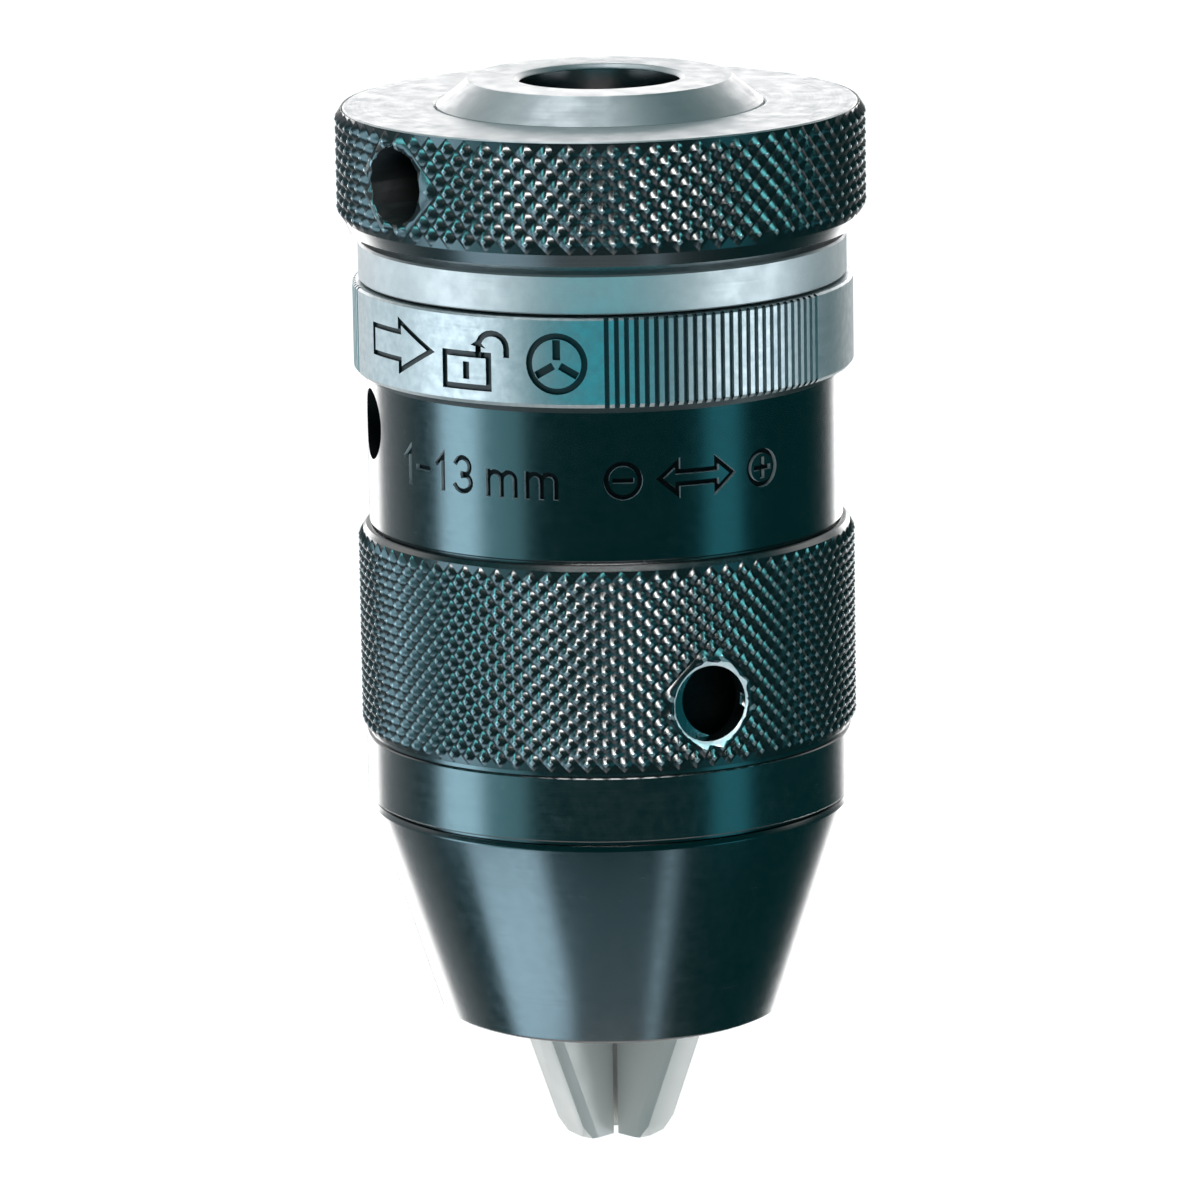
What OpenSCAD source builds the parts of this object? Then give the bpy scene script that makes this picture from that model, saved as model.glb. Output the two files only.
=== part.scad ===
// Keyless self-tightening drill chuck with a radial lock and a taper mount.
// Millimetres. Z runs along the spindle axis, z = 0 is the rear face, jaws point to -Z.
// Stored closed and unlocked.

/* [Spindle seat] */
// Mouth radius of the female taper
taper_r = 7.8665; // [5:0.01:10]
// Depth of the female taper
taper_depth = 24.5; // [18:0.5:30]
// Taper on the radius, mm per mm of depth
taper_rate = 0.02497; // [0.02:0.0001:0.03]

/* [Rear hub and holding ring] */
// Radius of the hub's rear face
hub_top_r = 13.15; // [11:0.05:15]
// Radius of the hub where it meets the holding ring
hub_base_r = 16; // [14:0.05:18]
// Height of the hub's cone flank
hub_h = 2.5; // [1:0.1:5]
// Outside radius of the knurled holding ring
hold_r = 26; // [22:0.1:30]
// Height of the holding ring
hold_h = 12.1; // [8:0.1:16]
// Radius of the hook hole in the holding ring
hold_hole_r = 3.75; // [2:0.05:5]

/* [Rings] */
// Outside radius of the smooth cover ring
cover_r = 24; // [20:0.05:27]
// Depth from the rear face to the top of the cover ring
cover_z = 15.5; // [14:0.05:17]
// Height of the cover ring
cover_h = 3.85; // [2:0.05:6]
// Outside radius of the release ring
rel_r = 24.6; // [22:0.05:28]
// Depth from the rear face to the top of the release ring
rel_z = 19.6; // [18:0.05:22]
// Height of the release ring
rel_h = 8.75; // [6:0.05:12]
// Turn of the release ring between locked and unlocked, degrees
rel_turn = 20; // [10:1:30]

/* [Sleeves] */
// Outside radius of the smooth rear sleeve
rear_r = 23.4; // [20:0.05:26]
// Depth to the joint between rear and front sleeve
joint_z = 43.65; // [38:0.05:50]
// Outside radius over the knurl of the front sleeve
front_r = 24.55; // [22:0.05:28]
// Outside radius of the front sleeve's smooth band
band_r = 24.1; // [22:0.05:27]
// Depth to the lower end of the knurl
knurl_end_z = 64.5; // [55:0.05:70]
// Depth to the lower end of the band
band_end_z = 71.2; // [60:0.05:80]
// Radius of the front sleeve's bore
front_bore_r = 21.95; // [20:0.05:23]
// Radius of the hook hole in the front sleeve
front_hole_r = 3.75; // [2:0.05:5]
// Radius of the hook hole in the rear sleeve
rear_hole_r = 3.5; // [2:0.05:5]

/* [Nose] */
// Radius at the top of the nose cone
cone_top_r = 23.8; // [20:0.05:26]
// Radius at the bottom of the nose cone
cone_end_r = 17.2; // [12:0.05:22]
// Depth to the bottom of the nose cone
nose_z = 93.3; // [80:0.1:110]

/* [Jaws] */
// Angle between a jaw's slideway and the axis, degrees
jaw_tilt = 20; // [12:0.5:30]
// Distance from the axis to a jaw's outer face, at the nose
jaw_out = 9.6; // [6:0.05:14]
// Half width of a jaw
jaw_half = 2.57; // [1.5:0.01:4]
// Depth of a jaw's straight sides
jaw_side = 1.27; // [0.5:0.01:3]
// Radial depth of a jaw
jaw_deep = 8; // [5:0.1:10]
// Depth to the jaw tips when closed
tip_z = 106.6; // [95:0.1:120]
// Half of the opening left between closed jaws
closed_r = 0.25; // [0.1:0.01:1]

/* [Feed screw] */
// Major radius of the left-hand thread
thread_r = 8; // [6:0.1:10]
// Thread depth
thread_deep = 0.9; // [0.5:0.05:1.5]
// Lead of the two-start thread
thread_lead = 6; // [2:0.5:8]
// Turn of the sleeve from closed to open, degrees
open_turn = 1030; // [720:10:1440]
// Radius of the slotted head
head_r = 17.5; // [12:0.1:19]
// Height of the slotted head
head_h = 6.3; // [4:0.1:9]

/* [Ratchet and bearing] */
// Number of ratchet teeth
teeth = 36; // [24:1:48]
// Tooth tip radius
tooth_tip_r = 19.4; // [18:0.05:21]
// Tooth root radius
tooth_root_r = 18.2; // [16:0.05:20]
// Number of bearing balls
balls = 12; // [8:1:20]
// Radius of a bearing ball
ball_r = 1.6; // [1:0.05:2.5]
// Radius of the ball circle
ball_circle = 17.4; // [14:0.1:20]

/* [Hidden] */
$fn = 96;
e = 0.05;                                   // running and seating gap
neck_r = 15;                                // hub neck, under the rings
hold_end = -hub_h - hold_h;                 // underside of the holding ring
cover_top = -cover_z;
cover_end = cover_top - cover_h;
rel_top = -rel_z;
rel_end = rel_top - rel_h;
rel_bore = 22.4;
crown_r0 = 19.75;                           // sleeve crown that carries the pawl
crown_r1 = 22.35;
crown_top = -19.95;
floor_top = -28;
floor_end = -32.6;
race_h = 1.3;
race_in = 15.6;
race_out = 19.4;
ball_z = floor_end - race_h - 1.32;
low_race_top = ball_z - 1.33;
flange_top = low_race_top - race_h - e;
flange_end = flange_top - 4.5;
skirt_r = 13.2;
skirt_end = -52.5;
screw_bore_r = thread_r + 0.08;
screw_top = -43.4;
head_end = -76.5;
head_top = head_end + head_h;
rise = thread_lead * open_turn / 360;       // axial travel of the feed screw
foot_in = 5.5;                              // jaw foot and neck, in the feed screw's T-slots
foot_out = 13.05;
foot_half = 2.5;
foot_low = -75.2;
neck_in = 10;
neck_half = 1.5;
cavity_r = 19.6;
cavity_end = -77.05;
guide_top = -51;
guide_r = front_bore_r - e;
bolt_z = -24.2;                             // height of detent and stop pin
pin_at = 90;                                // azimuth of the pawl pin
pin_r = 20.95;
tooth_phase = 5.75;                         // lines a tooth gap up with the pawl
detent_at = 315;
stop_at = 200;
hold_hole_at = 218.9;
front_hole_at = 294.1;
rear_hole_at = 192.3;
steel = [0.72, 0.75, 0.77];
dark = [0.12, 0.15, 0.16];
bright = [0.85, 0.86, 0.87];
brass = [0.72, 0.6, 0.3];

// a point at radius r and azimuth a
function polar(r, a) = [r * cos(a), r * sin(a)];
// points along an arc
function arc(r, a0, a1, n) = [for (i = [0 : n]) polar(r, a0 + (a1 - a0) * i / n)];

// solid ring between two radii and two heights
module ring(r0, r1, z0, z1) {
    rotate_extrude() polygon([[r0, z0], [r1, z0], [r1, z1], [r0, z1]]);
}

// ring sector between two radii, two azimuths and two heights
module sector(r0, r1, a0, a1, z0, z1) {
    n = max(2, ceil(abs(a1 - a0) / 4));
    translate([0, 0, z0]) linear_extrude(z1 - z0)
        polygon(concat(arc(r1, a0, a1, n), arc(r0, a1, a0, n)));
}

// radial hole, or radial pin, from radius r0 to r1
module radial(r, a, z, r0, r1) {
    rotate([0, 0, a]) translate([r0, 0, z]) rotate([0, 90, 0]) cylinder(r = r, h = r1 - r0);
}

// helical ridge with a four-cornered section, left-hand when lead is negative
module helix(section, lead, turns, start, per_turn) {
    n = round(turns * per_turn);
    m = len(section);
    pts = [for (i = [0 : n]) let (a = start + 360 * i / per_turn * sign(lead), z = abs(lead) * i / per_turn)
           for (p = section) [p[0] * cos(a), p[0] * sin(a), z + p[1]]];
    side = [for (i = [0 : n - 1]) for (j = [0 : m - 1])
            let (a = i * m + j, b = i * m + (j + 1) % m, c = a + m, d = b + m)
            for (f = lead > 0 ? [[a, b, d], [a, d, c]] : [[a, d, b], [a, c, d]]) f];
    first = [for (j = [0 : m - 1]) lead > 0 ? m - 1 - j : j];
    last = [for (j = [0 : m - 1]) n * m + (lead > 0 ? j : m - 1 - j)];
    polyhedron(points = pts, faces = concat([first], side, [last]), convexity = 8);
}

module chuck_body() {
    color(steel) difference() {
        rotate_extrude() polygon([
            [0, 0], [hub_top_r - 0.2, 0], [hub_top_r, -0.2], [hub_base_r, -hub_h],
            [hub_base_r, hold_end], [neck_r, hold_end], [neck_r, flange_top], [race_out, flange_top],
            [race_out, flange_end], [skirt_r, flange_end], [skirt_r, skirt_end + 0.5],
            [skirt_r - 0.5, skirt_end], [0, skirt_end]]);
        rotate_extrude() polygon([
            [0, 0.1], [taper_r + 0.5, 0.1], [taper_r + 0.4, 0], [taper_r, -0.4],
            [taper_r - taper_rate * taper_depth, -taper_depth], [4, -taper_depth], [4, -taper_depth - 1.5],
            [screw_bore_r, -taper_depth - 1.5], [screw_bore_r, skirt_end + 0.8],
            [screw_bore_r + 0.8, skirt_end], [screw_bore_r + 0.8, skirt_end - 1], [0, skirt_end - 1]]);
    }
}

module holding_ring() {
    color(dark) difference() {
        rotate_extrude() polygon([
            [hub_base_r + e, hold_end + 0.05], [hold_r - 1.2, hold_end], [hold_r, hold_end + 1.4],
            [hold_r, -hub_h - 0.3], [hold_r - 0.3, -hub_h], [hub_base_r + 0.4, -hub_h],
            [hub_base_r + e, -hub_h - 0.35]]);
        radial(hold_hole_r, hold_hole_at, -7.9, 18.5, hold_r + 2);
    }
}

module cover_ring() {
    color(bright) rotate_extrude() polygon([
        [neck_r + e, hold_end - e], [21.5, hold_end - e], [21.5, cover_top], [cover_r - 0.2, cover_top],
        [cover_r, cover_top - 0.2], [cover_r, cover_end + 0.15], [cover_r - 0.15, cover_end],
        [neck_r + e, cover_end]]);
}

module ratchet_ring() {
    pitch = 360 / teeth;
    color(steel) rotate([0, 0, tooth_phase]) difference() {
        ring(neck_r + e, tooth_tip_r, -27.3, -20.3);
        for (i = [0 : teeth - 1]) translate([0, 0, -28]) linear_extrude(9)
            polygon([polar(tooth_tip_r + 0.25, pitch * i - 0.2), polar(tooth_root_r, pitch * i + 1),
                     polar(tooth_root_r, pitch * i + 3.5), polar(tooth_tip_r + 0.25, pitch * i + 8.9)]);
    }
}

// thrust washer with a ball groove, whose groove opens towards the balls
module race(z0, z1) {
    color(steel) difference() {
        ring(race_in, race_out, z0, z1);
        translate([0, 0, ball_z]) rotate_extrude() translate([ball_circle, 0]) circle(r = ball_r + 0.02, $fn = 48);
    }
}
module upper_race() { race(floor_end - race_h, floor_end - 0.01); }
module lower_race() { race(low_race_top - race_h, low_race_top); }

module bearing_balls() {
    color(bright) for (i = [0 : balls - 1]) rotate([0, 0, 360 / balls * i])
        translate([ball_circle, 0, ball_z]) sphere(r = ball_r, $fn = 24);
}

module ball_cage() {
    color(brass) difference() {
        ring(ball_circle - 1.9, ball_circle + 1.9, ball_z - 0.4, ball_z + 0.4);
        for (i = [0 : balls - 1]) rotate([0, 0, 360 / balls * i])
            translate([ball_circle, 0, ball_z - 2]) cylinder(r = ball_r + 0.06, h = 4, $fn = 32);
    }
}

module rear_sleeve() {
    color(dark) difference() {
        rotate_extrude() polygon([
            [neck_r + 0.06, floor_top], [crown_r0, floor_top], [crown_r0, crown_top], [crown_r1, crown_top],
            [crown_r1, rel_end - 0.1], [rear_r - 0.4, rel_end - 0.1], [rear_r, rel_end - 0.6],
            [rear_r, -joint_z + 0.1], [rear_r - 0.15, -joint_z], [guide_r, -joint_z], [guide_r, -50.8],
            [20.2, -50.8], [20.2, floor_end], [neck_r + 0.06, floor_end]]);
        // pawl window and pin hole
        sector(crown_r0 - 1, crown_r1 + 1, pin_at - 18, pin_at + 13, -27.2, -21.2);
        sector(crown_r0 - 1, 21.2, pin_at + 12, pin_at + 15, -25.5, -22.9);
        rotate([0, 0, pin_at]) translate([pin_r, 0, -29]) cylinder(r = 0.75, h = 12, $fn = 32);
        // snap ring groove
        ring(21.75, crown_r1 + 1, -21.05, -20.3);
        // detent hole, stop pin hole and hook hole
        radial(0.75, detent_at, bolt_z, 20.1, 24);
        radial(0.75, stop_at, bolt_z, 20.2, 24);
        radial(rear_hole_r, rear_hole_at, -33.25, 20.8, rear_r + 2);
    }
}

module front_sleeve() {
    color(dark) difference() {
        rotate_extrude() polygon([
            [front_bore_r, -joint_z - e], [23, -joint_z - e], [23, -joint_z - 0.25], [23.6, -joint_z - 0.25],
            [front_r, -joint_z - 0.8], [front_r, -knurl_end_z + 0.7], [front_r - 0.35, -knurl_end_z + 0.2],
            [band_r - 0.3, -knurl_end_z + 0.1], [band_r - 0.3, -knurl_end_z - 0.2],
            [band_r, -knurl_end_z - 0.3], [band_r, -band_end_z + 0.15], [band_r - 0.15, -band_end_z],
            [23.2, -band_end_z], [23.2, -band_end_z - 0.45], [front_bore_r, -band_end_z - 0.45]]);
        radial(front_hole_r, front_hole_at, -58.05, 20, front_r + 2);
        rotate([0, 0, front_hole_at]) translate([front_r - 0.45, 0, -58.05]) rotate([0, 90, 0])
            cylinder(r1 = front_hole_r, r2 = front_hole_r + 0.9, h = 0.9);
    }
}

// section of a jaw, or of its slideway when grown by g
module jaw_section(g) {
    deep = jaw_deep * cos(jaw_tilt);
    side = jaw_side * cos(jaw_tilt);
    thin = jaw_half - (deep - side) * tan(15);
    polygon([[g, -jaw_half - g], [g, jaw_half + g], [-side, jaw_half + g], [-deep - g, thin + g],
             [-deep - g, -thin - g], [-side, -jaw_half - g]]);
}
// inclined prism along the slideway
module jaw_prism(g, down, up) {
    translate([jaw_out, 0, -nose_z]) rotate([0, jaw_tilt, 0]) translate([0, 0, -down])
        linear_extrude(down + up) jaw_section(g);
}

module jaw_guide() {
    color(dark) difference() {
        rotate_extrude() polygon([
            [0, guide_top], [guide_r, guide_top], [guide_r, -band_end_z - 0.5], [cone_top_r - 0.25, -band_end_z - 0.5],
            [cone_top_r, -band_end_z - 0.95], [cone_end_r, -nose_z + 0.25], [cone_end_r - 0.3, -nose_z], [0, -nose_z]]);
        translate([0, 0, cavity_end]) cylinder(r = cavity_r, h = 40);
        translate([0, 0, -nose_z - 1]) cylinder(r = 6.9, h = 30);
        translate([0, 0, -nose_z - 0.01]) cylinder(r1 = 7.6, r2 = 6.8, h = 0.8);
        for (i = [0 : 2]) rotate([0, 0, 90 + 120 * i]) jaw_prism(e, 12, 30);
        radial(front_hole_r, front_hole_at, -58.05, 20.4, front_r + 2);
    }
}

module pawl_pin() {
    color(steel) rotate([0, 0, pin_at]) translate([pin_r, 0, -28.9]) cylinder(r = 0.72, h = 8.7, $fn = 32);
}

// leaf under the pawl's tail, with a tab bent up behind the window's edge
module pawl_spring() {
    color(bright) {
        sector(19.48, 19.68, pin_at + 3, pin_at + 14.4, -25.4, -23);
        sector(19.48, 21.1, pin_at + 13.7, pin_at + 14.4, -25.4, -23);
    }
}

module detent_ball() {
    color(bright) rotate([0, 0, detent_at]) translate([21.8, 0, bolt_z]) sphere(r = 0.7, $fn = 24);
}

module detent_spring() {
    color(bright) rotate([0, 0, detent_at]) translate([20.24, 0, bolt_z]) rotate([0, 90, 0])
        helix([for (k = [0 : 5]) [0.5 + 0.1 * cos(60 * k), 0.1 * sin(60 * k)]], 0.26, 2.6, 0, 12);
}

module stop_pin() {
    color(steel) radial(0.72, stop_at, bolt_z, 20.25, 23.15);
}

module snap_ring() {
    color(bright) sector(21.8, 22.95, -80, 260, -20.98, -20.38);
}

module release_ring() {
    color(bright) difference() {
        rotate_extrude() polygon([
            [23.1, rel_top], [rel_r - 0.2, rel_top], [rel_r, rel_top - 0.2], [rel_r, rel_end + 0.4],
            [rel_r - 0.35, rel_end], [rel_bore, rel_end], [rel_bore, -21.15], [23.1, -21.15]]);
        // cam pocket for the pawl's tail
        translate([0, 0, -27.25]) linear_extrude(6.3) polygon(concat(
            [for (i = [0 : 10]) polar(22.45 + 0.105 * i, pin_at + 9.5 + 2 * i)],
            [polar(23.5, pin_at + 37), polar(22, pin_at + 37), polar(22, pin_at + 9.5)]));
        // track and dimples of the detent ball
        sector(22, 22.58, detent_at - 4, detent_at + rel_turn + 4, bolt_z - 0.75, bolt_z + 0.75);
        for (a = [0, rel_turn]) rotate([0, 0, detent_at + a]) translate([21.9, 0, bolt_z]) sphere(r = 0.8, $fn = 24);
        // slot of the stop pin
        sector(22, 23.35, stop_at - 2.4, stop_at + rel_turn + 2.4, bolt_z - 0.8, bolt_z + 0.8);
    }
}

module pawl() {
    color(steel) difference() {
        translate([0, 0, -27.1]) linear_extrude(5.8) polygon(concat(
            arc(22.25, pin_at - 14, pin_at + 10, 8),
            [polar(20.1, pin_at + 10), polar(19.95, pin_at + 4), polar(19.95, pin_at - 8),
             polar(19.6, pin_at - 11.5), polar(19.6, pin_at - 14)]));
        rotate([0, 0, pin_at]) translate([pin_r, 0, -30]) cylinder(r = 0.78, h = 12, $fn = 32);
    }
}

module feed_screw() {
    color(steel) {
        difference() {
            rotate_extrude() polygon([
                [0, screw_top], [thread_r - thread_deep - 0.6, screw_top], [thread_r - thread_deep, screw_top - 0.6],
                [thread_r - thread_deep, head_top + 2.5], [thread_r, head_top + 1.5], [thread_r, head_top], [head_r - 0.3, head_top],
                [head_r, head_top - 0.3], [head_r, head_end + 0.3], [head_r - 0.3, head_end], [3, head_end],
                [0, head_end + 2.6]]);
            for (i = [0 : 2]) rotate([0, 0, 90 + 120 * i]) {
                translate([5.3, -1.6, head_end - 1]) cube([20, 3.2, 3]);
                translate([5.3, -2.56, head_end + 1.24]) cube([20, 5.12, 2.76]);
            }
        }
        for (s = [0, 180]) translate([0, 0, screw_top - 23.4])
            helix([[thread_r - thread_deep - 0.25, -0.85], [thread_r, -0.4], [thread_r, 0.4],
                   [thread_r - thread_deep - 0.25, 0.85]], -thread_lead, 3.75, s, 24);
    }
}

// one jaw at azimuth 0: inclined body, vertical gripping edge, neck and foot
module jaw() {
    color(bright) {
        intersection() {
            jaw_prism(0, 20, 24);
            translate([0, 0, -tip_z]) linear_extrude(tip_z - 77.3)
                polygon([[closed_r, 0], [closed_r + 12, -12 * tan(60)], [foot_out, -21], [foot_out, 21],
                         [closed_r + 12, 12 * tan(60)]]);
            rotate_extrude() polygon([[0, -tip_z - 1], [4.2, -tip_z - 1], [6.6, -tip_z + 2.4], [30, -tip_z + 14],
                                      [30, -60], [0, -60]]);
        }
        translate([neck_in, -neck_half, -77.6]) cube([foot_out - 0.45 - neck_in, 2 * neck_half, 3.2]);
        translate([foot_in, -foot_half, foot_low]) cube([foot_out - foot_in, 2 * foot_half, 2.6]);
    }
}
module jaw_1() { rotate([0, 0, 90]) jaw(); }
module jaw_2() { rotate([0, 0, 210]) jaw(); }
module jaw_3() { rotate([0, 0, 330]) jaw(); }

chuck_body();
holding_ring();
cover_ring();
ratchet_ring();
lower_race();
bearing_balls();
ball_cage();
rear_sleeve();
front_sleeve();
jaw_guide();
upper_race();
pawl_pin();
pawl_spring();
detent_ball();
detent_spring();
stop_pin();
snap_ring();
release_ring();
pawl();
feed_screw();
jaw_1();
jaw_2();
jaw_3();
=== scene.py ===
# Keyless self-tightening drill chuck: the look of every visible piece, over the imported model.
# Lengths are written in millimetres, and MM turns them to metres. Z is the spindle axis, jaws point down.
import math

import bmesh
import bpy
from mathutils import Matrix, Vector


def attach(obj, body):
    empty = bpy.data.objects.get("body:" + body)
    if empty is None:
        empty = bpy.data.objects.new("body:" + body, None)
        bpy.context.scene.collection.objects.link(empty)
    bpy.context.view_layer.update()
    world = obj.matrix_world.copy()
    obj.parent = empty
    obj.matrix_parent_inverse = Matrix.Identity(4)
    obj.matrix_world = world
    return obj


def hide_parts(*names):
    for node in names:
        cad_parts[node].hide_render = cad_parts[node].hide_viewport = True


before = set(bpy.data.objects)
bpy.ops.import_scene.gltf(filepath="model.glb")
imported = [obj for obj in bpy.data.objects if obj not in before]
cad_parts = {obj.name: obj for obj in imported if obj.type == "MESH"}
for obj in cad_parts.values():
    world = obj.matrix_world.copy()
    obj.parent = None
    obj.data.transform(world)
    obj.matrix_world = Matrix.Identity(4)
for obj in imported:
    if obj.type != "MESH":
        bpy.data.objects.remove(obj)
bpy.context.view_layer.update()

MM = 0.001
STEPS = 256  # steps of a plain turned surface

# ---------------------------------------------------------------- sizes, as the CAD parts have them

# knurled walls: radius, lower and upper height; and how deep the diamonds are cut
HOLD_WALL, HOLD_DEPTH = (26.0, -13.35, -2.6), 0.62
FRONT_WALL, FRONT_DEPTH = (24.55, -64.25, -44.4), 0.48
REAR_R = 23.4  # wall of the smooth black sleeve
REL_R = 24.6  # wall of the release ring
# hook wrench holes: azimuth, height and radius
HOOK_HOLD = (218.9, -7.9, 3.75)
HOOK_FRONT = (294.1, -58.05, 3.75)
HOOK_REAR = (192.3, -33.25, 3.5)
HOOK_REACH = 28.0  # how far out the drills of the holes in knurled walls reach
# pawl, detent ball and stop pin: azimuths, and the height of the last two
PAWL_AT, DETENT_AT, STOP_AT, BOLT_Z = 90, 315, 200, -24.2
# jaws and their ways: azimuths, slant, and the prism's depth, side, half width and the angle of its back
JAW_AZIMUTHS = (90, 210, 330)
JAW_TILT, JAW_DEEP, JAW_SIDE, JAW_HALF, JAW_BACK = 20.0, 8.0, 1.27, 2.57, 15
JAW_OUT, NOSE_Z = 9.6, -93.3  # where the outer face of a way leaves the nose
WAY_GAP, WAY_DOWN, WAY_UP = 0.05, 12.0, 30.0  # running gap, and how far a way is cut below and above the nose


# ---------------------------------------------------------------- camera

VIEW_ANGLE, VIEW_LIFT, VIEW_ROLL = 8.501, 12.37, -0.92  # degrees
VIEW_DISTANCE = 0.8  # metres
VIEW_CENTRE = Vector((-0.76, 0.0, -52.41)) * MM


def aim(obj, target, roll=0.0):
    direction = Vector(target) - obj.location
    turn = direction.to_track_quat("-Z", "Y").to_matrix().to_4x4()
    obj.matrix_world = Matrix.Translation(obj.location) @ turn @ Matrix.Rotation(roll, 4, "Z")


camera = bpy.data.objects.new("camera", bpy.data.cameras.new("camera"))
bpy.context.scene.collection.objects.link(camera)
camera.data.sensor_width = 36.0
camera.data.angle = math.radians(VIEW_ANGLE)
camera.data.clip_start = 0.05
camera.data.clip_end = 20.0
view_lift = math.radians(VIEW_LIFT)
camera.location = VIEW_CENTRE + Vector((0.0, -math.cos(view_lift), math.sin(view_lift))) * VIEW_DISTANCE
aim(camera, VIEW_CENTRE, math.radians(VIEW_ROLL))
bpy.context.scene.camera = camera


# ---------------------------------------------------------------- shaping

CREASE = 30.0  # edges sharper than this, in degrees, stay sharp in plain pieces
KNURL_CREASE = 18.0
FLUTE_CREASE = 22.0
MERGE = 1e-7  # metres


def out_of(place):
    """Distance from the spindle axis, in the unit of the place."""
    return math.hypot(place.x, place.y)


def azimuth_of(vert):
    return math.degrees(math.atan2(vert.co.y, vert.co.x)) % 360.0


def toward(azimuth):
    return Vector((math.cos(math.radians(azimuth)), math.sin(math.radians(azimuth)), 0.0))


def set_radius(vert, radius):
    scale = radius * MM / out_of(vert.co)
    vert.co.x *= scale
    vert.co.y *= scale


def swing(bm, verts, degrees, axis="Z"):
    """Turns vertices about an axis through the origin."""
    bmesh.ops.rotate(bm, verts=verts, cent=(0, 0, 0), matrix=Matrix.Rotation(math.radians(degrees), 3, axis))


def shift(bm, verts, x, y, z):
    """Moves vertices by a step in mm."""
    bmesh.ops.translate(bm, verts=verts, vec=(x * MM, y * MM, z * MM))


def spin_round(bm, geom, steps):
    """Spins a wire a full turn about the spindle axis."""
    bmesh.ops.spin(bm, geom=geom, cent=(0, 0, 0), axis=(0, 0, 1), dvec=(0, 0, 0),
                   angle=2 * math.pi, steps=steps, use_merge=True, use_duplicate=False)


def wire(bm, points, closed=False):
    """A line in the XZ plane through points of radius and height, in mm, as vertices and edges."""
    verts = [bm.verts.new((r * MM, 0.0, z * MM)) for r, z in points]
    ends = verts[1:] + verts[:1] if closed else verts[1:]
    return verts, [bm.edges.new((a, b)) for a, b in zip(verts, ends)]


def finish_piece(name, bm, body, replaces, material, crease=CREASE):
    """Writes a bmesh to an object at the origin, smooth except along edges sharper than crease."""
    bmesh.ops.remove_doubles(bm, verts=bm.verts, dist=MERGE)
    bmesh.ops.recalc_face_normals(bm, faces=bm.faces)
    mesh = bpy.data.meshes.new(name)
    bm.to_mesh(mesh)
    bm.free()
    mesh.shade_smooth()
    mesh.set_sharp_from_angle(angle=math.radians(crease))
    piece = bpy.data.objects.new(name, mesh)
    bpy.context.scene.collection.objects.link(piece)
    mesh.materials.append(material)
    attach(piece, body)
    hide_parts(replaces)
    return piece


def outline(bm, points, ease=None):
    """A flat face in the XZ plane; the corners in ease, by number, are rounded over that many mm."""
    verts = [bm.verts.new((r * MM, 0.0, z * MM)) for r, z in points]
    bm.faces.new(verts)
    for index, size in (ease or {}).items():
        bmesh.ops.bevel(bm, geom=[verts[index]], offset=size * MM, offset_type="OFFSET", segments=3,
                        profile=0.5, affect="VERTICES", material=-1)
    return bm.faces[:][0]


def turn_face(bm, face, steps):
    """Spins the outline of a flat face a full turn about the axis, and drops the face."""
    edges = list(face.edges)
    verts = list(face.verts)
    bmesh.ops.delete(bm, geom=[face], context="FACES_ONLY")
    spin_round(bm, verts + edges, steps)


def turned(name, points, body, material, replaces, ease=None):
    """A piece turned on a lathe, from its profile of radius and height."""
    bm = bmesh.new()
    turn_face(bm, outline(bm, points, ease), STEPS)
    return finish_piece(name, bm, body, replaces, material)


def cut(piece, cutters, crease=CREASE):
    """Cuts the cutters out of a piece, then drops them; a cutter's material lines what it cuts."""
    for cutter in cutters:
        step = piece.modifiers.new("cut", "BOOLEAN")
        step.operation = "DIFFERENCE"
        step.solver = "EXACT"
        step.material_mode = "TRANSFER"
        step.use_self = cutter.name.startswith("mark")
        step.object = cutter
    graph = bpy.context.evaluated_depsgraph_get()
    whole = bpy.data.meshes.new_from_object(piece.evaluated_get(graph))
    piece.modifiers.clear()
    old = piece.data
    piece.data = whole
    whole.name = piece.name
    bpy.data.meshes.remove(old)
    for cutter in cutters:
        data = cutter.data
        bpy.data.objects.remove(cutter)
        bpy.data.meshes.remove(data)
    whole.shade_smooth()
    whole.set_sharp_from_angle(angle=math.radians(crease))


def cutter_from(bm, material, name="cutter"):
    """An object to cut with. One named mark may cross itself, and keeps the normals it was drawn with."""
    if name == "cutter":
        bmesh.ops.recalc_face_normals(bm, faces=bm.faces)
    mesh = bpy.data.meshes.new(name)
    bm.to_mesh(mesh)
    bm.free()
    mesh.materials.append(material)
    obj = bpy.data.objects.new(name, mesh)
    bpy.context.scene.collection.objects.link(obj)
    return obj


def hole_cutter(hole, inner, outer, material):
    """A round drill, or a countersink when hole has two radii, along a radius of the chuck."""
    azimuth, z, *radii = hole
    bm = bmesh.new()
    length = outer - inner
    bmesh.ops.create_cone(bm, cap_ends=True, segments=72, radius1=radii[0] * MM, radius2=radii[-1] * MM,
                          depth=length * MM)
    shift(bm, bm.verts, 0, 0, inner + length / 2)
    swing(bm, bm.verts, 90, "Y")
    swing(bm, bm.verts, azimuth)
    shift(bm, bm.verts, 0, 0, z)
    return cutter_from(bm, material)


def sector_cutter(inner, outer, start, end, low, high, material):
    """A block between two radii, two azimuths and two heights."""
    bm = bmesh.new()
    corners, edges = wire(bm, [(inner, low), (outer, low), (outer, high), (inner, high)], closed=True)
    swing(bm, corners, start)
    bmesh.ops.spin(bm, geom=corners + edges, cent=(0, 0, 0), axis=(0, 0, 1), dvec=(0, 0, 0),
                   angle=math.radians(end - start), steps=max(2, round((end - start) / 3)), use_merge=False,
                   use_duplicate=False)
    bmesh.ops.holes_fill(bm, edges=[e for e in bm.edges if e.is_boundary], sides=4)
    return cutter_from(bm, material)


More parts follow.
